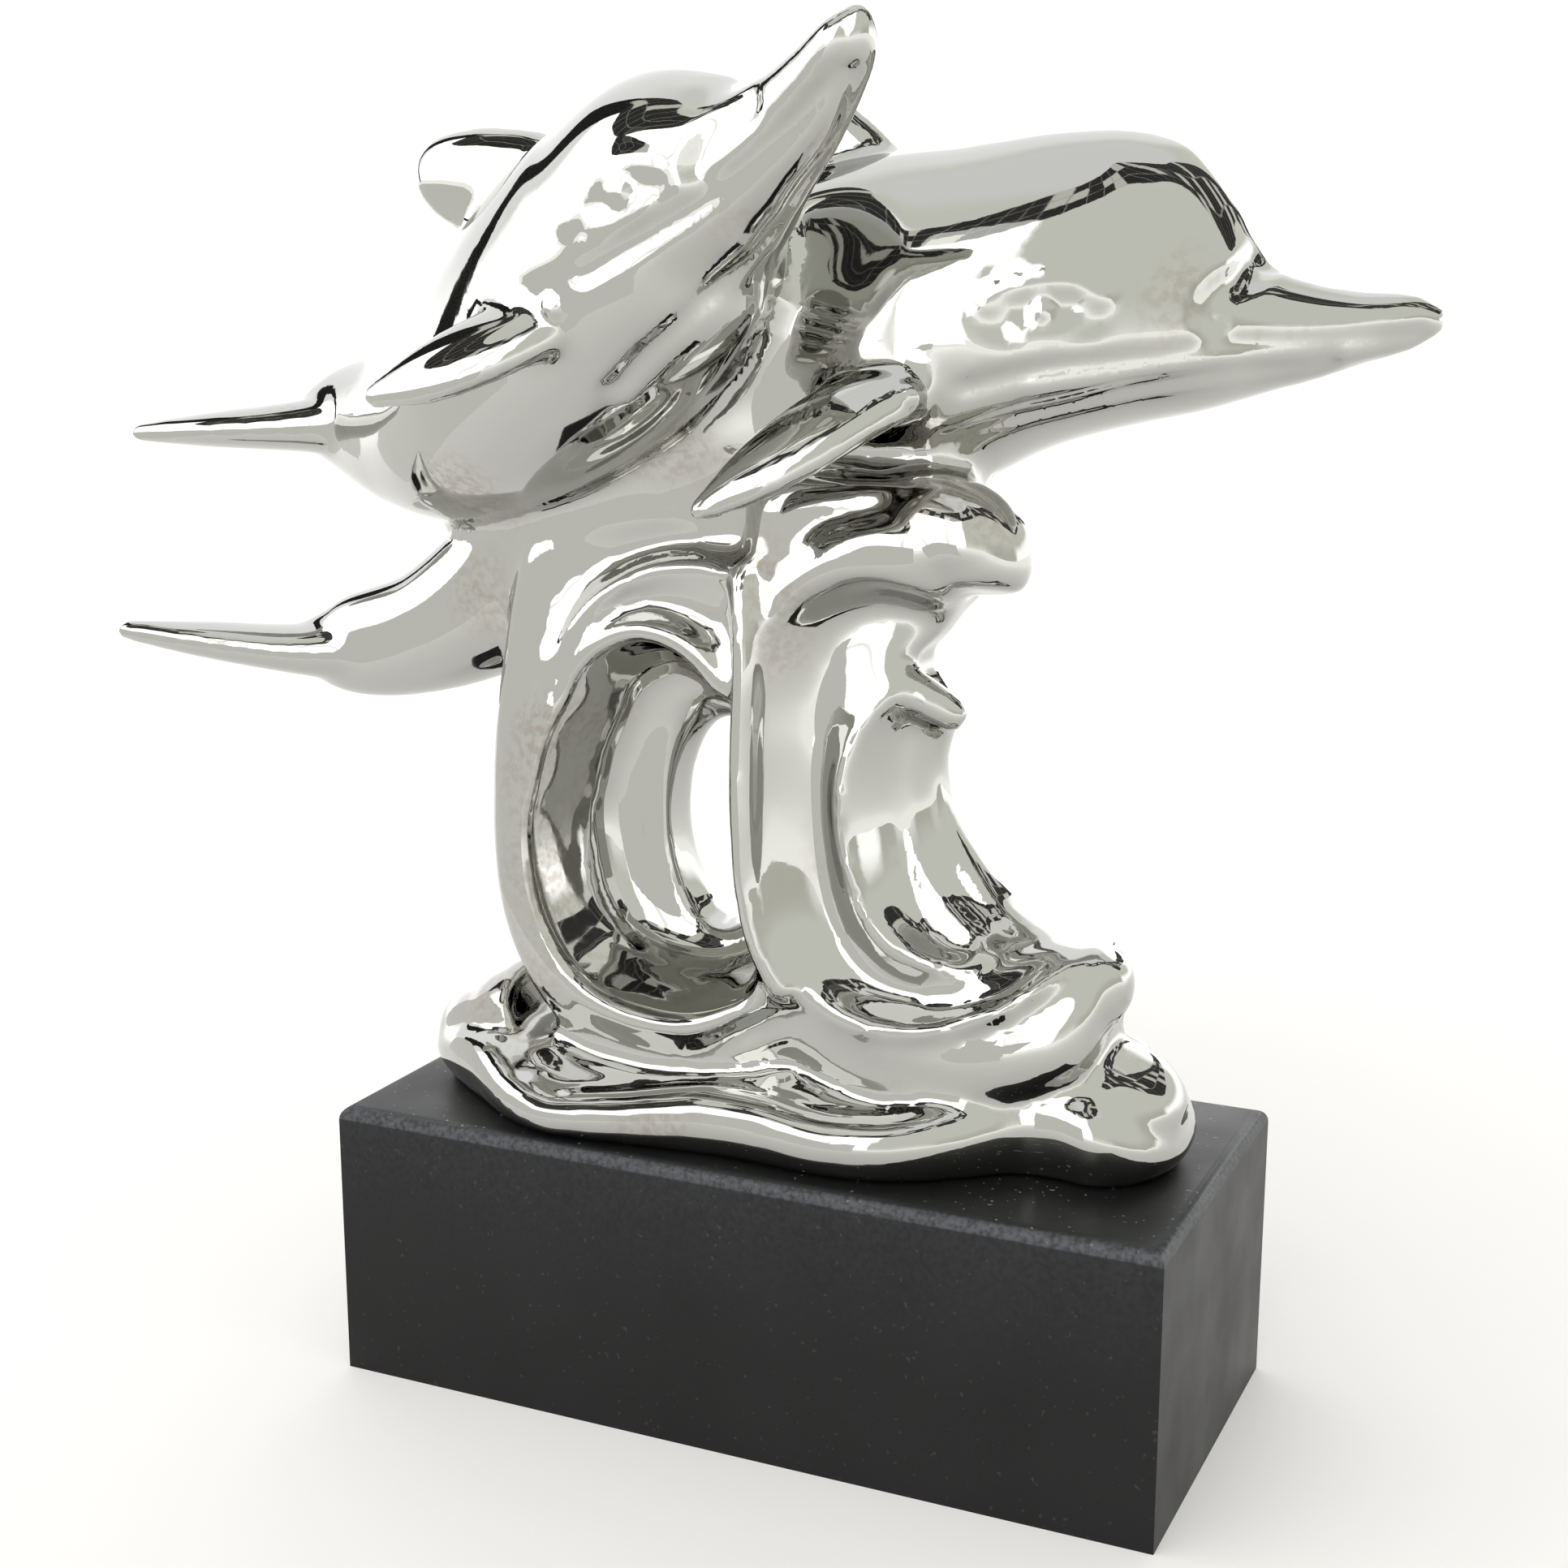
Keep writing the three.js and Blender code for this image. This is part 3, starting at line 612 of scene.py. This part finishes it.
# %% Silver film on glaze
silver, tree, shader = material("silver_film_on_glaze")
place = add(tree, "ShaderNodeTexCoord").outputs["Object"]
patches = add(tree, "ShaderNodeTexNoise",
              {"Vector": place, "Scale": marks(34), "Detail": 1.0}).outputs["Fac"]
smudge = add(tree, "ShaderNodeTexNoise",
             {"Vector": place, "Scale": marks(1.8), "Detail": 4.0}).outputs["Fac"]
patches = add(tree, "ShaderNodeMapRange",
              {"Value": patches, "From Min": 0.6, "From Max": 0.74}).outputs["Result"]
smudge = add(tree, "ShaderNodeMapRange", {"Value": smudge, "From Min": 0.42, "From Max": 0.62,
                                          "To Max": 0.38}).outputs["Result"]
thin = add(tree, "ShaderNodeMath", {0: patches, 1: smudge}, operation="MULTIPLY").outputs["Value"]
tone = add(tree, "ShaderNodeMix",
           {0: thin, 6: srgb("#B4B4B0"), 7: srgb("#8D7B6B")}, data_type="RGBA").outputs[2]
tree.links.new(tone, shader.inputs["Base Color"])
shader.inputs["Metallic"].default_value = 1.0
polish = add(tree, "ShaderNodeTexNoise", {"Vector": place, "Scale": marks(14)}).outputs["Fac"]
polish = add(tree, "ShaderNodeMapRange", {"Value": polish, "From Min": 0.35, "From Max": 0.7,
                                          "To Min": 0.02, "To Max": 0.045}).outputs["Result"]
dull = add(tree, "ShaderNodeMath",
           {0: thin, 1: 0.25, 2: polish}, operation="MULTIPLY_ADD").outputs["Value"]
tree.links.new(dull, shader.inputs["Roughness"])
peel = add(tree, "ShaderNodeTexNoise", {"Vector": place, "Scale": marks(6), "Detail": 1.0}).outputs["Fac"]
peel = add(tree, "ShaderNodeBump", {"Height": peel, "Distance": 0.012 * MM}).outputs["Normal"]
grain = add(tree, "ShaderNodeTexNoise",
            {"Vector": place, "Scale": marks(0.7), "Detail": 1.0}).outputs["Fac"]
grain = add(tree, "ShaderNodeBump",
            {"Height": grain, "Distance": 0.0012 * MM, "Normal": peel}).outputs["Normal"]
tree.links.new(grain, shader.inputs["Normal"])
casting.data.materials.clear()
casting.data.materials.append(silver)
print("silver nodes", len(tree.nodes))

# %% [markdown]
# The block is sprayed: flat colour with a faint grain of the board along its length, a rubbed and
# paler line along the rounded edge, partly wear and partly a painted highlight, and specks of dust
# that settled on the wet top.

# %% Satin black paint
black, tree, shader = material("satin_black_paint")
surface = add(tree, "ShaderNodeTexCoord")
place = surface.outputs["Object"]
upward = add(tree, "ShaderNodeSeparateXYZ", {0: surface.outputs["Normal"]}).outputs["Z"]
cloud = add(tree, "ShaderNodeTexNoise", {"Vector": place, "Scale": marks(30)}).outputs["Fac"]
cloud = add(tree, "ShaderNodeMapRange",
            {"Value": cloud, "From Min": 0.3, "From Max": 0.7}).outputs["Result"]
paint = add(tree, "ShaderNodeMix",
            {0: cloud, 6: srgb("#0B0B0C"), 7: srgb("#121213")}, data_type="RGBA").outputs[2]
# Paler line on the rounded edge: partly rubbed wear, partly a painted highlight where the edge catches
# light.
rub_wear_and_painted_highlight = add(tree, "ShaderNodeTexNoise",
          {"Vector": place, "Scale": marks(1.1), "Detail": 3.0}).outputs["Fac"]
rub_wear_and_painted_highlight = add(tree, "ShaderNodeMapRange",
          {"Value": rub_wear_and_painted_highlight, "From Min": 0.35, "From Max": 0.6, "To Min": 0.35}).outputs["Result"]
for flat, curved in ((0.02, 0.18), (1.01, 0.85)):
    edge = add(tree, "ShaderNodeMapRange", {"Value": upward, "From Min": flat, "From Max": curved},
               interpolation_type="SMOOTHSTEP")
    rub_wear_and_painted_highlight = add(tree, "ShaderNodeMath",
              {0: rub_wear_and_painted_highlight, 1: edge.outputs["Result"]}, operation="MULTIPLY").outputs["Value"]
paint = add(tree, "ShaderNodeMix", {0: rub_wear_and_painted_highlight, 6: paint, 7: srgb("#45474B")}, data_type="RGBA").outputs[2]
speck = add(tree, "ShaderNodeTexNoise",
            {"Vector": place, "Scale": marks(0.9), "Detail": 0.0}).outputs["Fac"]
speck = add(tree, "ShaderNodeMapRange",
            {"Value": speck, "From Min": 0.8, "From Max": 0.83, "To Max": 0.6}).outputs["Result"]
settled = add(tree, "ShaderNodeMapRange", {"Value": upward, "From Min": 0.2, "From Max": 0.9,
                                           "To Min": 0.1}).outputs["Result"]
dust = add(tree, "ShaderNodeMath", {0: speck, 1: settled}, operation="MULTIPLY").outputs["Value"]
paint = add(tree, "ShaderNodeMix", {0: dust, 6: paint, 7: srgb("#8E8C88")}, data_type="RGBA").outputs[2]
tree.links.new(paint, shader.inputs["Base Color"])
shader.inputs["Specular IOR Level"].default_value = 0.26
satin = add(tree, "ShaderNodeTexNoise",
            {"Vector": place, "Scale": marks(18), "Detail": 3.0}).outputs["Fac"]
satin = add(tree, "ShaderNodeMapRange", {"Value": satin, "From Min": 0.3, "From Max": 0.7, "To Min": 0.36,
                                         "To Max": 0.46}).outputs["Result"]
tree.links.new(satin, shader.inputs["Roughness"])
along = add(tree, "ShaderNodeVectorMath",
            {0: place, 1: (0.12, 1.0, 1.0)}, operation="MULTIPLY").outputs["Vector"]
board = add(tree, "ShaderNodeTexNoise",
            {"Vector": along, "Scale": marks(1.6), "Detail": 3.0}).outputs["Fac"]
board = add(tree, "ShaderNodeBump", {"Height": board, "Distance": 0.01 * MM}).outputs["Normal"]
spray = add(tree, "ShaderNodeTexNoise",
            {"Vector": place, "Scale": marks(0.5), "Detail": 1.0}).outputs["Fac"]
spray = add(tree, "ShaderNodeBump",
            {"Height": spray, "Distance": 0.004 * MM, "Normal": board}).outputs["Normal"]
tree.links.new(spray, shader.inputs["Normal"])
print("paint nodes", len(tree.nodes))

# %% [markdown]
# ## The plinth
# A plain block with its upper edges eased, as a router leaves board. A box with a bevel is enough.
# Both pieces stand on the frame's one body and take the places of the two solids.

# %% The plinth
LENGTH, DEPTH, EDGE = 180.0, 82.0, 3.0
bpy.ops.object.select_all(action="DESELECT")
bpy.ops.mesh.primitive_cube_add(size=1, location=(0, 0, PLINTH_HEIGHT * MM / 2))
block = bpy.context.object
block.name = "plinth_block"
block.scale = (LENGTH * MM, DEPTH * MM, PLINTH_HEIGHT * MM)
bpy.ops.object.transform_apply(location=True, rotation=True, scale=True)
bpy.ops.object.mode_set(mode="EDIT")
bpy.ops.mesh.select_mode(type="EDGE")
bpy.ops.mesh.select_all(action="DESELECT")
bpy.ops.object.mode_set(mode="OBJECT")
for e in block.data.edges:
    a, b = (block.data.vertices[v].co for v in e.vertices)
    e.select = min(a.z, b.z) > PLINTH_HEIGHT * MM * 0.9
bpy.ops.object.mode_set(mode="EDIT")
bpy.ops.mesh.bevel(offset=EDGE * MM, segments=6, affect="EDGES")
bpy.ops.object.mode_set(mode="OBJECT")
bpy.ops.object.shade_smooth_by_angle(angle=math.radians(40))
block.data.materials.append(black)

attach(casting, "root")
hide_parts("dolphins_on_wave")
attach(block, "root")
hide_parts("plinth")

# %% [markdown]
# ## Studio
# Polished silver shows the room. The room is bright on the left and behind, mid grey on the right,
# and a black truss runs round it overhead. The floor is a pale sweep with a painted glow that grows
# away from the object, so it is darker near the object, as painted shade.

# %% Floor
CENTRE = Vector((0.0, 0.0, 0.17))


def toward(azimuth, elevation, distance):
    """A point seen from the object: azimuth 0 is behind it and 90 is to its right."""
    a, e = math.radians(azimuth), math.radians(elevation)
    return CENTRE + distance * Vector((math.sin(a) * math.cos(e), math.cos(a) * math.cos(e), math.sin(e)))


bpy.ops.object.select_all(action="DESELECT")
bpy.ops.mesh.primitive_plane_add(size=24, location=(0, 0, 0))
floor = bpy.context.object
floor.name = "floor"
pale, tree, shader = material("pale_floor_with_painted_glow")
place = add(tree, "ShaderNodeTexCoord").outputs["Object"]
# Painted glow: the floor emits light, faint near the object and strong far from it, which paints it
# darker near the object.
far = add(tree, "ShaderNodeVectorMath", {0: place}, operation="LENGTH").outputs["Value"]
painted_floor_glow = add(tree, "ShaderNodeMapRange", {"Value": far, "From Min": 0.2, "From Max": 1.4,
                                              "To Min": 0.22, "To Max": 0.8}).outputs["Result"]
shader.inputs["Base Color"].default_value = srgb("#D2D0CE")
shader.inputs["Roughness"].default_value = 0.9
shader.inputs["Emission Color"].default_value = srgb("#FFFFFF")
tree.links.new(painted_floor_glow, shader.inputs["Emission Strength"])
floor.data.materials.append(pale)

# %% [markdown]
# The walls are zones of light with soft edges on the sky. Real panels would do as well, but each
# would need its own noise samples, and soft zones are clean at once.

# %% Room
ROOM = [
    # turned from, from and to, lowest and highest, soft edge, colour, strength
    ("front", 40, 170, -40, 12, 9, "#FBFBF0", 0.9),
    ("back", -112, 6, -30, 62, 8, "#F8F9FA", 1.5),
    ("back", -102, 74, -30, 10, 5, "#FFFFFF", 2.2),
    ("back", -30, 12, 0, 30, 5, "#FFFFFF", 2.2),
    ("front", -93, -12, -13, 50, 4, "#FFFFFF", 2.6),
    ("front", -10, 8.5, -12, 54, 1.5, "#FFFFFF", 3.0),
    ("front", 8, 45, -30, 2, 12, "#FFFFFF", 1.7),
    ("back", -200, 200, 66, 100, 5, "#F6F7F8", 1.3),
]


def glow(code, strength):
    """A colour as light of this strength."""
    return tuple(part * strength for part in srgb(code)[:3]) + (1.0,)


world = bpy.context.scene.world or bpy.data.worlds.new("studio")
bpy.context.scene.world = world
world.use_nodes = True
tree = world.node_tree
sky = tree.nodes["Background"]
ray = add(tree, "ShaderNodeTexCoord").outputs["Generated"]
x, y, z = add(tree, "ShaderNodeSeparateXYZ", {0: ray}).outputs
forward = add(tree, "ShaderNodeMath", {0: y, 1: -1.0}, operation="MULTIPLY").outputs["Value"]
angles = {}
for name, kind, first, second in (("back", "ARCTAN2", x, y), ("front", "ARCTAN2", x, forward),
                                  ("up", "ARCSINE", z, 0.0)):
    angle = add(tree, "ShaderNodeMath", {0: first, 1: second}, operation=kind).outputs["Value"]
    angles[name] = add(tree, "ShaderNodeMath", {0: angle}, operation="DEGREES").outputs["Value"]
colour = glow("#FBFCF3", 1.13)
for side, start, end, lowest, highest, soft, code, strength in ROOM:
    mask = 1.0
    for name, low, high in ((side, start, end), ("up", lowest, highest)):
        for edge, inward in ((low, soft), (high, -soft)):
            fade = add(tree, "ShaderNodeMapRange",
                       {"Value": angles[name], "From Min": edge - inward, "From Max": edge + inward},
                       interpolation_type="SMOOTHSTEP")
            mask = add(tree, "ShaderNodeMath", {0: fade.outputs["Result"], 1: mask},
                       operation="MULTIPLY").outputs["Value"]
    colour = add(tree, "ShaderNodeMix", {0: mask, 6: colour, 7: glow(code, strength)},
                 data_type="RGBA").outputs[2]
tree.links.new(colour, sky.inputs["Color"])
sky.inputs["Strength"].default_value = 1.0

# %% [markdown]
# What stands nearer is modelled, because nearness changes where it shows in the silver. The truss
# and stand are dark ribbons with panels on them. A low grey card stands by the front left corner:
# only the wave and the foot see it, and the dolphins above it keep the white of the wall.

# %% Softboxes and truss


def softbox(name, azimuth, elevation, distance, width, tall, radiance):
    """A rectangular lamp that faces the object."""
    lamp = bpy.data.lights.new(name, "AREA")
    lamp.shape, lamp.size, lamp.size_y = "RECTANGLE", width, tall
    lamp.energy = radiance * math.pi * width * tall
    box = bpy.data.objects.new(name, lamp)
    bpy.context.collection.objects.link(box)
    box.location = toward(azimuth, elevation, distance)
    box.rotation_euler = (CENTRE - box.location).to_track_quat("-Z", "Y").to_euler()
    return box


softbox("front_softbox", 181, 24, 1.4, 0.42, 1.5, 0.8)

TRUSS = [(2, 5, 1), (15, 17, 4), (30, 30, 9), (46, 40, 18), (62, 46, 23), (78, 55, 17), (94, 66, 10),
         (112, 72, 8.5), (130, 71, 8), (150, 65, 7.5), (169, 58, 7.5), (183, 53, 7), (198, 49, 5),
         (214, 46, 5), (232, 46, 8), (250, 53, 10), (266, 56, 6), (276, 48, 4.5)]
STAND = [(266, 54, 7), (279, 42, 7), (288, 31, 6.5), (289, 24, 6), (284, 18, 6), (277, 12, 5.5),
         (271, 6, 4.5), (268, 0, 3.5)]
CARD = [(178, -11, 13), (184, -10.5, 13.5), (191, -10, 14), (200, -9, 15), (215, -8.5, 15.5),
        (281, -8.5, 15.5)]


def ribbon(name, rows, across, distance=1.6):
    """A strip hung round the object: azimuth, elevation and half width of every row, in degrees."""
    full = [(azimuth, elevation, 0, half, 0, 0) for azimuth, elevation, half in rows]
    path = spline(full, 6)[:, (0, 1, 3)]
    bpy.ops.object.select_all(action="DESELECT")
    bpy.ops.mesh.primitive_grid_add(x_subdivisions=1, y_subdivisions=len(path) - 1, size=1)
    strip = bpy.context.object
    strip.name = name
    edges = [toward(azimuth + side * half * across[0], elevation + side * half * across[1], distance)
             for azimuth, elevation, half in path for side in (-1, 1)]
    strip.data.vertices.foreach_set("co", np.array(edges).ravel())
    strip.visible_camera = False
    return strip


truss = ribbon("black_truss", TRUSS, (0, 1))
stand = ribbon("black_stand", STAND, (1, 0.4))
panels, tree, shader = material("black_truss_panels")
flat = add(tree, "ShaderNodeTexCoord").outputs["UV"]
spread = add(tree, "ShaderNodeVectorMath", {0: flat, 1: (3, 44, 1)},
             operation="MULTIPLY").outputs["Vector"]
squares = add(tree, "ShaderNodeTexBrick",
              {"Vector": spread, "Color1": srgb("#000000"), "Color2": srgb("#FFFFFF"),
               "Mortar": srgb("#8A8880"), "Scale": 1.0, "Mortar Size": 0.025, "Bias": -0.25,
               "Brick Width": 1.0, "Row Height": 1.0}, offset=0.0)
shader.inputs["Base Color"].default_value = srgb("#000000")
lit = add(tree, "ShaderNodeMapRange",
          {"Value": squares.outputs["Color"], "From Min": 0.45, "From Max": 0.47},
          clamp=True).outputs["Result"]
lines = add(tree, "ShaderNodeMath",
            {0: squares.outputs["Fac"], 1: 0.45}, operation="MULTIPLY").outputs["Value"]
both = add(tree, "ShaderNodeMath", {0: lit, 1: lines}, operation="MAXIMUM").outputs["Value"]
tree.links.new(both, shader.inputs["Emission Strength"])
shader.inputs["Emission Color"].default_value = srgb("#F4F2EA")
truss.data.materials.append(panels)
matt, tree, shader = material("black_stand_paint")
shader.inputs["Base Color"].default_value = srgb("#060606")
shader.inputs["Roughness"].default_value = 0.9
stand.data.materials.append(matt)
card = ribbon("grey_card", CARD, (0, 1), 0.4)
card.visible_diffuse = card.visible_shadow = False
board, tree, shader = material("grey_card_board")
shader.inputs["Base Color"].default_value = srgb("#000000")
shader.inputs["Emission Color"].default_value = srgb("#F8F7F2")
shader.inputs["Emission Strength"].default_value = 1.05
card.data.materials.append(board)

# %% [markdown]
# ## Camera
# The lens was worked out from the plinth, a box whose corners fix the place, the turn and the focal
# length of the camera.

# %% Camera
SENSOR_WIDTH = 36.0
PHOTO_WIDTH, FOCAL_LENGTH = 1932, 2780.4
EYE = (0.18636, -0.41376, 0.23007)
YAW, PITCH = 24.763, 12.401

bpy.context.scene.view_settings.view_transform = "Standard"
lens = bpy.data.cameras.new("camera")
lens.sensor_width, lens.lens = SENSOR_WIDTH, SENSOR_WIDTH * FOCAL_LENGTH / PHOTO_WIDTH
lens.clip_start = 0.01
camera = bpy.data.objects.new("camera", lens)
bpy.context.collection.objects.link(camera)
camera.location = EYE
yaw, pitch = math.radians(YAW), math.radians(PITCH)
look = Vector((-math.sin(yaw) * math.cos(pitch), math.cos(yaw) * math.cos(pitch), -math.sin(pitch)))
camera.rotation_euler = look.to_track_quat("-Z", "Y").to_euler()
bpy.context.scene.camera = camera
